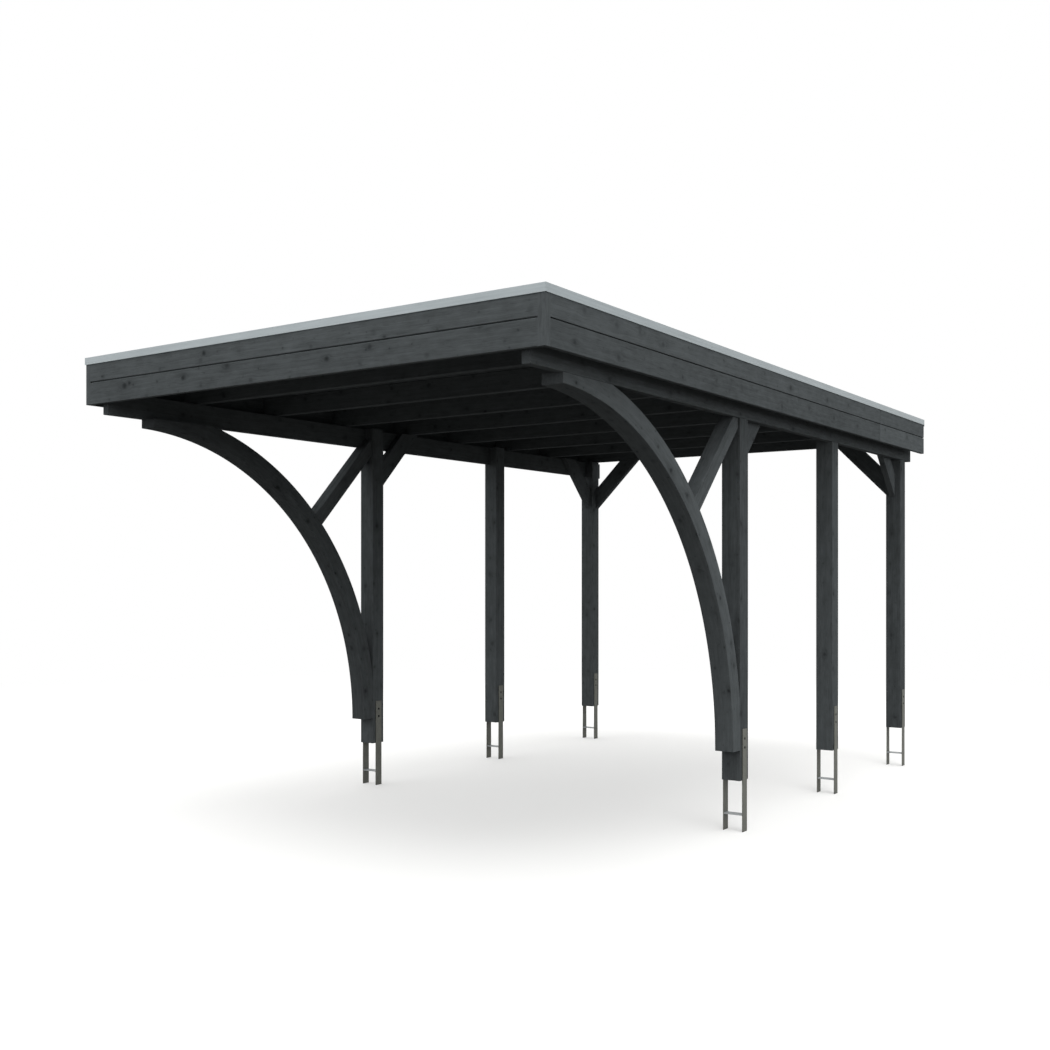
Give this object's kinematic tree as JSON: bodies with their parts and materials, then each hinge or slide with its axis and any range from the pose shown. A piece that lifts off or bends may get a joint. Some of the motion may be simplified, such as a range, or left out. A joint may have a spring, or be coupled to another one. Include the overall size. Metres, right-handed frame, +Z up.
{
  "type": "carport",
  "caption": "Open carport with a flat roof behind a grooved fascia, square posts on steel anchors, curved entrance arches and knee braces.",
  "frame": {"origin": "middle of the bounding box at ground level, under the ends of the anchors", "axes": "+X to the right along the entrance front, +Y to the rear, +Z up"},
  "size_m": [3.14, 5.55, 2.738],
  "materials": {
    "stained_timber": "slate grey stain on planed softwood, satin",
    "stained_glulam": "slate grey stain on curved glued laminated softwood, satin",
    "deck_boards": "slate grey stain on matched roof boards",
    "trim_aluminium": "plain mill finish, lightly weathered",
    "galvanised_steel": "hot-dip galvanised, dull",
    "roof_felt": "dark roofing sheet, matt"
  },
  "bodies": {
    "root": {"post_front_left": "stained_timber", "anchor_front_left": "galvanised_steel", "post_middle_left": "stained_timber", "anchor_middle_left": "galvanised_steel", "post_rear_left": "stained_timber", "anchor_rear_left": "galvanised_steel", "purlin_left": "stained_timber", "arch_left": "stained_glulam", "arch_strut_left": "stained_timber", "front_brace_left": "stained_timber", "rear_brace_left": "stained_timber", "cross_brace_left": "stained_timber", "corner_block_left": "stained_timber", "trim_left": "trim_aluminium", "post_front_right": "stained_timber", "anchor_front_right": "galvanised_steel", "post_middle_right": "stained_timber", "anchor_middle_right": "galvanised_steel", "post_rear_right": "stained_timber", "anchor_rear_right": "galvanised_steel", "purlin_right": "stained_timber", "arch_right": "stained_glulam", "arch_strut_right": "stained_timber", "front_brace_right": "stained_timber", "rear_brace_right": "stained_timber", "cross_brace_right": "stained_timber", "corner_block_right": "stained_timber", "trim_right": "trim_aluminium", "rafter_front": "stained_timber", "rafters_inner": "stained_timber", "rafter_rear": "stained_timber", "fascia_front_lower": "stained_timber", "fascia_front_upper": "stained_timber", "fascia_left_lower": "stained_timber", "fascia_left_upper": "stained_timber", "fascia_right_lower": "stained_timber", "fascia_right_upper": "stained_timber", "trim_front": "trim_aluminium", "roof_deck": "deck_boards", "roof_membrane": "roof_felt", "eaves_strip": "trim_aluminium"}
  },
  "joints": []
}
